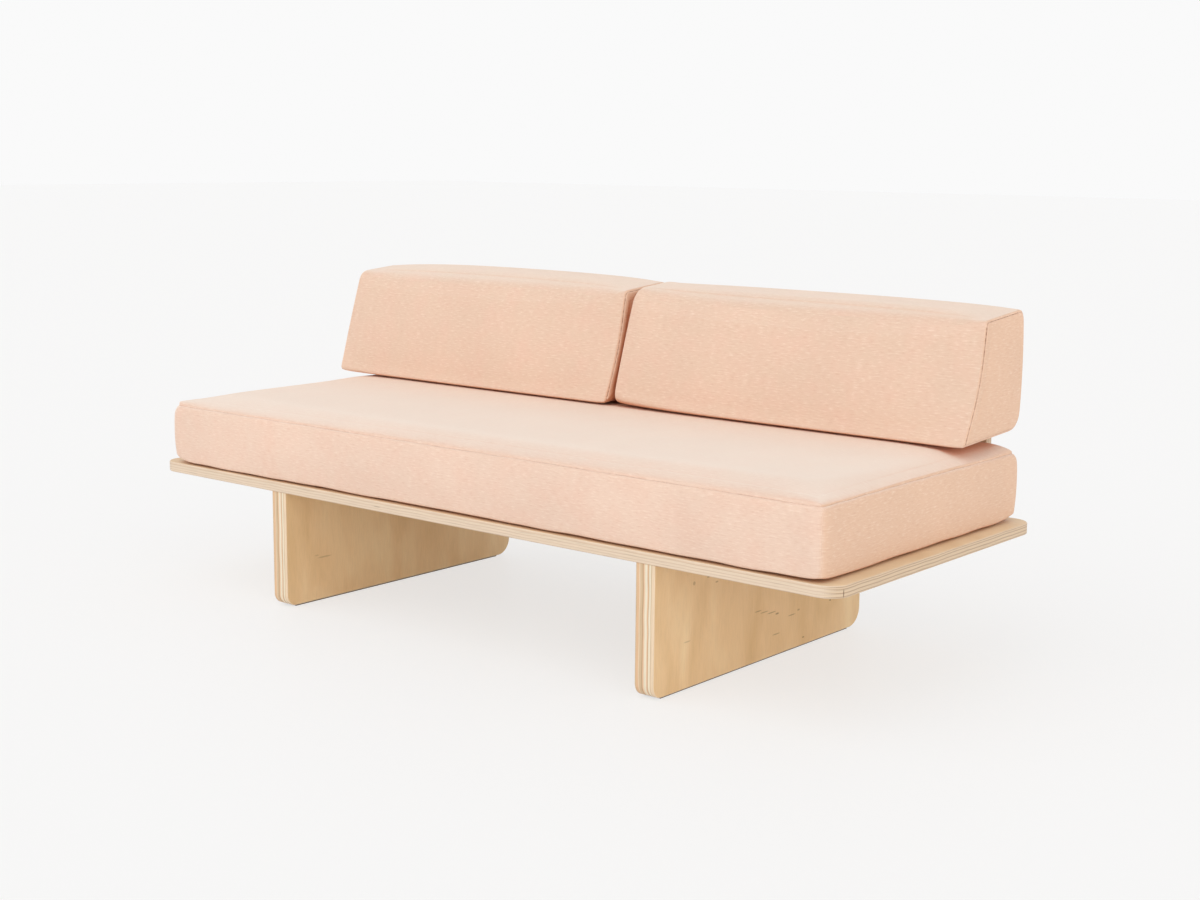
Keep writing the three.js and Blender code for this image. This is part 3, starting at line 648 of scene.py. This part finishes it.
def padMesh(name, rings, counts, halfBend, patchPoint):
    # rings are lists of points in space; patchPoint turns a ring's flat grid into points in space
    first = counts[0] + 2 * halfBend
    second = counts[1] + 2 * halfBend
    around = len(rings[0][0])
    points = np.vstack([ring for ring, flat in rings])
    faces = []
    for ring in range(len(rings) - 1):
        for here in range(around):
            after = (here + 1) % around
            low, high = ring * around, (ring + 1) * around
            faces.append((low + here, low + after, high + after, high + here))
    for end in (0, len(rings) - 1):
        grid = patchBetween(rings[end][1], first, second)
        index = np.zeros((first + 1, second + 1), dtype=int)
        index[:, 0] = np.arange(first + 1)
        index[-1, :] = first + np.arange(second + 1)
        index[:, -1] = first + second + np.arange(first + 1)[::-1]
        index[0, 1:] = 2 * first + second + np.arange(second)[::-1]
        index += end * around
        inner = grid[1:-1, 1:-1].reshape(-1, 2)
        index[1:-1, 1:-1] = len(points) + np.arange(len(inner)).reshape(first - 1, second - 1)
        points = np.vstack([points, patchPoint(inner, end > 0)])
        for i in range(first):
            for j in range(second):
                square = (index[i, j], index[i + 1, j], index[i + 1, j + 1], index[i, j + 1])
                faces.append(square if end else square[::-1])
    mesh = bpy.data.meshes.new(name)
    mesh.from_pydata(points.tolist(), [], [tuple(int(i) for i in face) for face in faces])
    mesh.validate()
    mesh.update()
    pad = newObject(name, mesh)
    makeActive(pad)
    bpy.ops.object.mode_set(mode="EDIT")
    bpy.ops.mesh.select_all(action="SELECT")
    bpy.ops.mesh.normals_make_consistent(inside=False)
    bpy.ops.object.mode_set(mode="OBJECT")
    return pad


swellLook = {
    "shrink": 5 * mm,
    "cap": 6 * mm,
    "frames": 20,
    "calm": 4,
}
clothSettings = {
    "quality": 5,
    "mass": 0.05,
    "tension_stiffness": 12,
    "compression_stiffness": 12,
    "shear_stiffness": 4,
    "bending_stiffness": 0.4,
    "vertex_group_mass": "held",
    "use_pressure": True,
    "uniform_pressure_force": 5,
}


def swell(pad, freedom):
    # starts slightly smaller than the target and lets air pressure fill the cover, within a cap
    look = swellLook
    target = pointsOf(pad)
    normals = np.empty(len(target) * 3)
    pad.data.vertex_normals.foreach_get("vector", normals)
    start = target - normals.reshape(-1, 3) * (look["shrink"] * freedom)[:, None]
    movePoints(pad, start)
    held = pad.vertex_groups.new(name="held")
    for index, free in enumerate(freedom):
        held.add([index], 1 - float(free), "REPLACE")
    cover = pad.modifiers.new("cover", "CLOTH")
    for key, value in clothSettings.items():
        setattr(cover.settings, key, value)
    cover.settings.effector_weights.gravity = 0
    cover.point_cache.frame_start = 1
    cover.point_cache.frame_end = look["frames"]
    for frameNumber in range(1, look["frames"] + 1):
        bpy.context.scene.frame_set(frameNumber)
    applyModifier(pad, "cover")
    moved = pointsOf(pad) - start
    length = np.linalg.norm(moved, axis=1, keepdims=True)
    most = look["cap"] * freedom[:, None]
    print(pad.name, "cloth moved", round(float(length.mean() / mm), 1), "mm on average")
    shift = start + moved * np.minimum(1, most / np.maximum(length, 1e-9)) - target
    pairs = np.empty(len(pad.data.edges) * 2, dtype=int)
    pad.data.edges.foreach_get("vertices", pairs)
    first, second = pairs.reshape(-1, 2).T
    for turn in range(look["calm"]):
        around = np.zeros_like(shift)
        np.add.at(around, first, shift[second])
        np.add.at(around, second, shift[first])
        neighbours = np.bincount(pairs, minlength=len(shift))[:, None]
        shift = 0.5 * shift + 0.5 * around / neighbours
    movePoints(pad, target + shift)
    bpy.context.scene.frame_set(1)
    pad.vertex_groups.clear()


def refine(pad, seamRings):
    # a smoother surface, with its seams kept as creases
    crease = pad.data.attributes.new("crease_edge", "FLOAT", "EDGE")
    seamPoints = {int(index): number for number, ring in enumerate(seamRings) for index in ring}
    values = np.zeros(len(pad.data.edges))
    for number, edge in enumerate(pad.data.edges):
        a, b = edge.vertices
        if a in seamPoints and seamPoints.get(b) == seamPoints[a]:
            values[number] = 1.0
    crease.data.foreach_set("value", values)
    finer = pad.modifiers.new("finer", "SUBSURF")
    finer.levels = finer.render_levels = 1
    applyModifier(pad, "finer")


def markSeams(pad, seamLines):
    # each point's distance to the nearest seam, for the cloth's crease and tucks
    attribute = pad.data.attributes.new("seamDistance", "FLOAT", "POINT")
    attribute.data.foreach_set("value", distances(pointsOf(pad), *seamLines))


def layCloth(pad):
    # the cloth's own coordinates, in metres, from the side that each face looks to
    mesh = pad.data
    mesh.update()
    layer = mesh.uv_layers.new(name="cloth")
    places = pointsOf(pad)
    corners = np.empty(len(mesh.loops), dtype=int)
    mesh.loops.foreach_get("vertex_index", corners)
    totals = np.empty(len(mesh.polygons), dtype=int)
    normals = np.empty(len(mesh.polygons) * 3)
    mesh.polygons.foreach_get("loop_total", totals)
    mesh.polygons.foreach_get("normal", normals)
    facing = np.abs(normals.reshape(-1, 3)).argmax(1)
    axes = np.array([[1, 2], [0, 2], [0, 1]])[np.repeat(facing, totals)]
    spots = places[corners]
    rows = np.arange(len(corners))
    flat = np.stack([spots[rows, axes[:, 0]], spots[rows, axes[:, 1]]], axis=1)
    layer.uv.foreach_set("vector", flat.ravel())


def cutAway(pad, low, high, name):
    # takes a box out of a pad
    deselectAll()
    middle = [(a + b) / 2 for a, b in zip(low, high)]
    bpy.ops.mesh.primitive_cube_add(size=1, location=middle)
    tool = bpy.context.object
    tool.name = name
    tool.scale = [b - a for a, b in zip(low, high)]
    bpy.ops.object.transform_apply(location=True, rotation=True, scale=True)
    cut = pad.modifiers.new(name, "BOOLEAN")
    cut.operation = "DIFFERENCE"
    cut.solver = "EXACT"
    cut.object = tool
    applyModifier(pad, name)
    bpy.data.objects.remove(tool)


# the slot that shows a zip: the gap round its tape, and how far the tape stands out of the slot's floor
zipGap = 0.6 * mm
zipShow = 0.3 * mm


def dressPad(pad, seamLines, cloth, body):
    markSeams(pad, seamLines)
    layCloth(pad)
    smoothShade(pad, 50)
    paint(pad, cloth)
    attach(pad, body)
    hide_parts(f"{body}_cover", f"{body}_foam_core")


# Mattress

mattressLook = {
    "coverBulge": 8 * mm,  # from the seam to the box that the frame gives the cover
    "sideBulge": 12.5 * mm,
    "bottomBulge": 9.5 * mm,
    "barrel": 0.18,  # how much of the bulge is lost slowly towards the top seam, the rest is lost late
    "shoulder": 9,
    "bottomRadius": 6.5 * mm,
    "bottomLift": 2.5 * mm,  # the underside rises this much towards its edge, which leaves a dark line
    "liftWander": 2 * mm,
    "liftWave": 90 * mm,
    "liftReach": 30 * mm,
    "border": 144 * mm,  # from the underside to the top seam
    "rearRise": 4 * mm,  # the seam climbs along the right end
    "crown": 26 * mm,
    "endReach": 48 * mm,  # how far in from each edge the top keeps climbing
    "rearEndReach": 22 * mm,
    "rearBlend": 120 * mm,
    "frontReach": 30 * mm,
    "rearReach": 12 * mm,
    "seamLift": 3.5 * mm,  # the top swells up this much right beside the seam
    "bank": 3.5 * mm,  # and this much more along the foot of the bolsters
    "bankPlace": 0.155,
    "bankReach": 60 * mm,
    "liftWidth": 14 * mm,
    "fillReach": 60 * mm,
    "seamWander": 1.2 * mm,
    "seamWave": 45 * mm,
    "drawIn": 3 * mm,
    "seamDepth": 1.0 * mm,
    "rearBulge": 18 * mm,  # past the end of the back panel
    "pastPanel": 18 * mm,
    # the next three in mm
    "borderHeights": (32, 46, 60, 75, 90, 104, 115, 124, 130, 134.5, 138, 140.5, 142.5),
    "topInsets": (0.7, 2.2, 4.4, 7.5, 12, 19, 28),
    "bowFade": 60,
    "cells": (104, 42),
    "halfBend": 4,
    "packing": 0.55,
    "fill": 0.95,
}
# corners in turn: side, front or rear, reach of the bend, how far the underside is lifted there and how
# far along, and how far the top is filled out
mattressCorners = [
    (-1, -1, 25 * mm, 20 * mm, 28 * mm, 7 * mm),
    (1, -1, 18 * mm, 6 * mm, 40 * mm, 2 * mm),
    (1, 1, 10 * mm, 13 * mm, 36 * mm, 3 * mm),
    (-1, 1, 10 * mm, 9 * mm, 40 * mm, 3 * mm),
]


def mattressCrown(look, plan, halfLength, halfDepth):
    # height over the top seam, from how far a point is from the ends, the front and the rear
    toEnd = np.maximum(halfLength - np.abs(plan[:, 0]), 0)
    toFront = np.maximum(halfDepth + plan[:, 1], 0)
    toRear = np.maximum(halfDepth - plan[:, 1], 0)
    nearest = np.minimum(np.minimum(toEnd, toFront), toRear)
    change = look["rearEndReach"] - look["endReach"]
    endReach = look["endReach"] + change * np.exp(-toRear / look["rearBlend"])
    crown = 1 - np.exp(-toEnd / endReach)
    crown *= 1 - np.exp(-toFront / look["frontReach"])
    crown *= 1 - np.exp(-toRear / look["rearReach"])
    aside = (plan[:, 1] - look["bankPlace"]) / look["bankReach"]
    crown += look["bank"] / look["crown"] * np.exp(-aside ** 2) * crown
    roll = np.clip(1 - nearest / look["liftWidth"], 0, 1)
    lift = look["seamLift"]
    for x, y, bend, under, reach, fill in mattressCorners:
        away = np.hypot(plan[:, 0] - x * halfLength, plan[:, 1] - y * halfDepth)
        lift = lift + fill * np.exp(-away / look["fillReach"])
    return look["crown"] * crown + lift * np.sqrt(1 - roll ** 2)


def makeMattress():
    look = mattressLook
    low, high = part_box("mattress_cover")
    base, rear = low.z, high.y
    halfLength = (high.x - low.x) / 2 - look["coverBulge"]
    front = low.y + look["coverBulge"]
    halfDepth = (rear - front) / 2
    middleY = (rear + front) / 2
    seamHeight = look["border"]
    corners = []
    for x, y, bend, under, reach, fill in mattressCorners:
        corners.append((np.array([x * halfLength, y * halfDepth]), bend, -look["drawIn"]))

    def ringAt(inset, height, bowShare=1.0):
        loop = softLoop(corners, look["cells"], look["halfBend"], look["packing"], inset, bowShare)
        space = np.column_stack([loop[:, 0], loop[:, 1] + middleY, np.full(len(loop), base + height)])
        return space, loop

    rings = []
    radius = look["bottomRadius"]
    lift = look["bottomLift"]
    edge = look["bottomBulge"]
    for share in (1, 0.8, 0.4, 0):
        rings.append(ringAt(radius + look["liftReach"] * share - edge, lift * (1 - share ** 3)))
    for share in (0.25, 0.5, 0.75, 1):
        angle = share * math.pi / 2
        rings.append(ringAt(radius * (1 - math.sin(angle)) - edge, lift + radius * (1 - math.cos(angle))))
    # the border swells out between the bottom edge and the top seam
    for height in look["borderHeights"]:
        share = (height * mm - radius - lift) / (seamHeight - radius - lift)
        if share < 0.5:
            bulge = edge + (look["sideBulge"] - edge) * math.sin(math.pi * share)
        else:
            upper = 2 * share - 1
            lost = look["barrel"] * upper ** 2 + (1 - look["barrel"]) * upper ** look["shoulder"]
            bulge = look["sideBulge"] * (1 - lost)
        rings.append(ringAt(-bulge, height * mm, abs(2 * share - 1)))
    seamRing = len(rings)
    rings.append(ringAt(look["seamDepth"] * 0.7, seamHeight - look["seamDepth"] * 0.7))
    for inset in look["topInsets"]:
        space, loop = ringAt(inset * mm, 0, 1 - inset / look["bowFade"])
        space[:, 2] = base + seamHeight + mattressCrown(look, loop, halfLength, halfDepth)
        rings.append((space, loop))

    def patchPoint(flat, top):
        height = mattressCrown(look, flat, halfLength, halfDepth) + seamHeight if top else 0
        return np.column_stack([flat[:, 0], flat[:, 1] + middleY, base + height + np.zeros(len(flat))])

    pad = padMesh("mattress_pad", rings, look["cells"], look["halfBend"], patchPoint)

    # the rear lies flat against the back panel and swells past its ends
    places = pointsOf(pad)
    pastPanel = np.clip((np.abs(places[:, 0]) - panelHigh.x - 2 * mm) / look["pastPanel"], 0, 1)
    limit = rear + look["rearBulge"] * pastPanel * pastPanel * (3 - 2 * pastPanel)
    places[:, 1] = np.minimum(places[:, 1], limit)

    # the seam wanders a little, as sewing does
    around = len(rings[0][0])
    seamPoints = np.arange(seamRing * around, (seamRing + 1) * around)
    for ring in range(seamRing - 2, seamRing + 3):
        for index in range(ring * around, (ring + 1) * around):
            spot = Vector(places[index]) / look["seamWave"]
            places[index, 2] += look["seamWander"] * noise.noise(spot)

    # the lower edge wanders too and lifts off the deck at the corners, and the right end climbs to the rear
    height = places[:, 2] - base
    inward = np.minimum(halfLength - np.abs(places[:, 0]), halfDepth - np.abs(places[:, 1] - middleY))
    nearEdge = np.clip(1 - inward / look["liftReach"], 0, 1) * np.clip(1 - height / (60 * mm), 0, 1)
    for index in np.flatnonzero(nearEdge > 0):
        spot = Vector((places[index, 0], places[index, 1], 0)) / look["liftWave"]
        places[index, 2] += look["liftWander"] * nearEdge[index] * (0.6 + noise.noise(spot))
    for x, y, bend, under, reach, fill in mattressCorners:
        away = np.hypot(places[:, 0] - x * halfLength, places[:, 1] - middleY - y * halfDepth)
        places[:, 2] += under * np.exp(-away / reach) * np.clip(1 - height / (70 * mm), 0, 1)
    alongEnd = np.clip((places[:, 1] - middleY) / halfDepth * 0.5 + 0.5, 0, 1)
    rise = look["rearRise"] * alongEnd * np.exp((places[:, 0] - halfLength) / (80 * mm))
    places[:, 2] += rise * np.clip(height / seamHeight, 0, 1)
    movePoints(pad, places)

    # the cover is held at the seam, on the deck and against the panel, and is stiffer at the corners
    height = places[:, 2] - base
    toSeam = distances(places, places[seamPoints])
    freedom = np.clip(toSeam / (30 * mm), 0, 1)
    freedom *= np.clip((height - 4 * mm) / (36 * mm), 0, 1)
    flatRear = (places[:, 1] > rear - 6 * mm) & (height < seamHeight - 4 * mm)
    freedom[flatRear & (pastPanel == 0)] = 0
    toCorner = np.hypot(halfLength - np.abs(places[:, 0]), halfDepth - np.abs(places[:, 1] - middleY))
    freedom *= np.clip((toCorner - 20 * mm) / (80 * mm), 0.05, 1)
    swell(pad, freedom)
    places = pointsOf(pad)
    places[:, 1] = np.minimum(places[:, 1], limit)
    places[:, 2] = np.maximum(places[:, 2], base)
    movePoints(pad, places)
    seamLine = places[seamPoints]
    refine(pad, [seamPoints])
    zipLow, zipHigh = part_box("mattress_zip")
    cutAway(pad, (zipLow.x - zipGap, zipHigh.y - zipShow, zipLow.z - zipGap),
            (zipHigh.x + zipGap, zipHigh.y + 20 * mm, zipHigh.z + zipGap), "zip_slot")
    dressPad(pad, [seamLine], mattressCloth, "mattress")


makeMattress()
print("mattress made")


# Bolsters

bolsterLook = {
    "coverBulge": 10 * mm,
    "bottomDepth": 254 * mm,
    "topDepth": 178 * mm,
    "rearHeight": 277 * mm,
    "bottomRise": 14 * mm,  # the underside climbs towards the back
    "topRise": 16 * mm,
    "foot": 10 * mm,  # how round the corners are in the middle of the length
    "nose": 48 * mm,
    "back": 18 * mm,
    "rearFoot": 42 * mm,
    "barrel": 5 * mm,  # the ends lean out at half height
    "flare": 9 * mm,  # and the left ends at the foot
    "frontBow": 6 * mm,  # out in the middle of the length
    "reach": 120 * mm,  # how far in from each end its own shape is felt
    "drawIn": 3 * mm,
    "drawReach": 14 * mm,
    "seamRoll": 4 * mm,
    "seamDepth": 1.8 * mm,
    "cells": (26, 22),
    "halfBend": 3,
    "packing": 0.5,
    "lengthCells": 60,
    "fill": 0.95,
}
# each end's own shape, in mm: how far the top sags there, how hollow the front is, how far the end swells
# out, and how round the front foot, the nose and the rear top corner are
bolsterEndKeys = ("sag", "hollow", "bulge", "foot", "nose", "back")
bolsterEnds = {
    "left": ((1, 0, 14, 18, 26, 60), (2, 5, 10, 10, 16, 30)),
    "right": ((-5, 0, 11, 40, 38, 56), (9, 8, 8, 8, 12, 26)),
}
pocketLook = {
    "gap": 1.5 * mm,  # round the back panel
    "wall": 8 * mm,
    "height": 217 * mm,
    "mouth": 48 * mm,  # the rear wall starts this high
    "slot": 25 * mm,  # and this far from the inner end
    "hem": 7 * mm,
}
# in the middle the top is higher by the lift, and its surface bows out
bolsterTopLift = {"left": 6.5 * mm, "right": -2 * mm}
bolsterTopBow = {"left": 1 * mm, "right": 0}


def makeBolster(side):
    look = bolsterLook
    low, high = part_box(f"{side}_bolster_cover")
    sign = -1 if side == "left" else 1
    halfLength = (high.x - low.x) / 2 - look["coverBulge"]
    middleX = (high.x + low.x) / 2
    ends = [{key: size * mm for key, size in zip(bolsterEndKeys, sizes)} for sizes in bolsterEnds[side]]
    rear = high.y
    base = low.z

    def sectionAt(along):
        nearLeft = math.exp(-(halfLength + along) / look["reach"])
        nearRight = math.exp(-(halfLength - along) / look["reach"])
        fromEnd = halfLength - abs(along)
        inset = look["drawIn"] * math.exp(-fromEnd / look["drawReach"])
        if fromEnd < look["seamRoll"]:
            share = 1 - fromEnd / look["seamRoll"]
            inset += look["seamRoll"] * (1 - math.sqrt(1 - share ** 2))
        middle = 1 - nearLeft - nearRight

        def blend(key, inMiddle):
            return ends[0][key] * nearLeft + ends[1][key] * nearRight + inMiddle * middle

        rearTop = look["bottomRise"] + look["rearHeight"] - blend("sag", -bolsterTopLift[side])
        corners = [
            (np.array([-look["bottomDepth"], 0.0]), blend("foot", look["foot"]), 0.0),
            (np.array([0.0, look["bottomRise"]]), look["rearFoot"], 0.0),
            (np.array([0.0, rearTop]), blend("back", look["back"]), bolsterTopBow[side] * middle),
            (np.array([-look["topDepth"], rearTop - look["topRise"]]), blend("nose", look["nose"]),
             look["frontBow"] * middle - blend("hollow", 0)),
        ]
        return softLoop(corners, look["cells"], look["halfBend"], look["packing"], inset)

    def place(loop, along):
        alongAll = middleX + along + np.zeros(len(loop))
        return np.column_stack([alongAll, rear + loop[:, 0], base + loop[:, 1]])

    # distances from an end seam, denser near it, along the pad and over its end
    nearSeam = [1.5 * mm, 4 * mm, 8 * mm, 14 * mm, 22 * mm]
    lastNear = nearSeam[-1]
    fromEnds = [0.0, *nearSeam[:-1]]
    shares = packed(look["lengthCells"], look["packing"])
    stations = [d - halfLength for d in fromEnds]
    stations += [lastNear - halfLength + s * 2 * (halfLength - lastNear) for s in shares]
    stations += [halfLength - d for d in reversed(fromEnds)]
    endLoops = [sectionAt(-halfLength), sectionAt(halfLength)]

    def insetLoop(loop, by):
        centre = loop.mean(axis=0)
        size = np.linalg.norm(loop - centre, axis=1, keepdims=True)
        return centre + (loop - centre) * (1 - by / size.mean())

    def capBulge(fromSeam, most):
        # steep beside the seam, then slow
        beside = 0.25 * (1 - math.exp(-fromSeam / (3 * mm)))
        further = 0.75 * (1 - math.exp(-fromSeam / (34 * mm)))
        return most * (beside + further)

    def capRing(end, inset):
        loop = insetLoop(endLoops[end], inset)
        out = halfLength + capBulge(inset, ends[end]["bulge"])
        return place(loop, out if end else -out), loop

    rings = [capRing(0, inset) for inset in reversed(nearSeam)]
    firstSeam = len(rings)
    for along in stations:
        loop = sectionAt(along)
        sunk = insetLoop(loop, look["seamDepth"]) if abs(along) >= halfLength else loop
        rings.append((place(sunk, along), loop))
    lastSeam = len(rings) - 1
    rings += [capRing(1, inset) for inset in nearSeam]

    def patchPoint(flat, end):
        seam = np.column_stack([endLoops[end], np.zeros(len(endLoops[end]))])
        away = distances(np.column_stack([flat, np.zeros(len(flat))]), seam)
        out = halfLength + np.array([capBulge(d, ends[end]["bulge"]) for d in away])
        return place(flat, out if end else -out)

    pad = padMesh(f"{side}_bolster_pad", rings, look["cells"], look["halfBend"], patchPoint)
    places = pointsOf(pad)
    upShare = np.clip((places[:, 2] - base) / (look["bottomRise"] + look["rearHeight"]), 0, 1)
    for end in (-1, 1):
        lean = look["barrel"] * (4 * upShare * (1 - upShare) - 0.7)
        if end < 0:
            lean += look["flare"] * (1 - upShare) ** 2
        fromEnd = np.maximum(halfLength - end * (places[:, 0] - middleX), 0)
        places[:, 0] += end * lean * np.exp(-fromEnd / (60 * mm))
    movePoints(pad, places)
    around = len(endLoops[0])
    seams = [np.arange(ring * around, (ring + 1) * around) for ring in (firstSeam, lastSeam)]
    # the cover is held at the seams, and its underside and rear stay where the frame has them
    freedom = np.clip(distances(places, *[places[seam] for seam in seams]) / (30 * mm), 0, 1)
    freedom *= np.clip((places[:, 2] - base - 12 * mm) / (40 * mm), 0.1, 1)
    freedom *= np.clip((rear - places[:, 1]) / (20 * mm), 0.2, 1)
    swell(pad, freedom)
    places = pointsOf(pad)
    places[:, 1] = np.minimum(places[:, 1], rear + 2 * mm)
    places[:, 2] = np.maximum(places[:, 2], base - 0.5 * mm)
    movePoints(pad, places)
    seamLines = [places[seam] for seam in seams]
    refine(pad, seams)

    # the pocket that slips over the back panel
    pocketFront = panelLow.y - pocketLook["gap"]
    pocketRear = rear - pocketLook["wall"]
    pocketTop = base + pocketLook["height"]
    pocketEnd = sign * (panelHigh.x + pocketLook["gap"])
    innerEnd = middleX - sign * (halfLength + 30 * mm)
    hemX = middleX - sign * (halfLength - pocketLook["slot"])
    hemHeight = base + look["bottomRise"] + pocketLook["mouth"]
    under = base - 20 * mm
    behind = rear + 20 * mm
    spans = [
        (pocketEnd, pocketRear, pocketTop),
        (pocketEnd, behind, hemHeight),
        (hemX, behind, pocketTop),
    ]
    for number, (outer, back, top) in enumerate(spans):
        cutAway(pad, (min(outer, innerEnd), pocketFront, under), (max(outer, innerEnd), back, top),
                f"pocket{number}")
    zipLow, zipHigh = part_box(f"{side}_bolster_zip")
    cutAway(pad, (zipLow.x - zipGap, zipLow.y - zipGap, under),
            (zipHigh.x + zipGap, zipHigh.y + zipGap, zipLow.z + zipShow), "zip_slot")
    # the stitches of the hem run round the pocket's mouth, out and back along the same line
    hem = pocketLook["hem"]
    outerHem = pocketEnd + sign * hem
    hemRoute = np.array([
        (outerHem, rear, base),
        (outerHem, rear, hemHeight + hem),
        (hemX + sign * hem, rear, hemHeight + hem),
        (hemX + sign * hem, rear, pocketTop + hem),
        (middleX - sign * halfLength, rear, pocketTop + hem),
    ])
    seamLines.append(np.vstack([hemRoute, hemRoute[-2:0:-1]]))
    dressPad(pad, seamLines, bolsterCloth, f"{side}_bolster")


for bolsterSide in ("left", "right"):
    makeBolster(bolsterSide)
print("bolsters made")
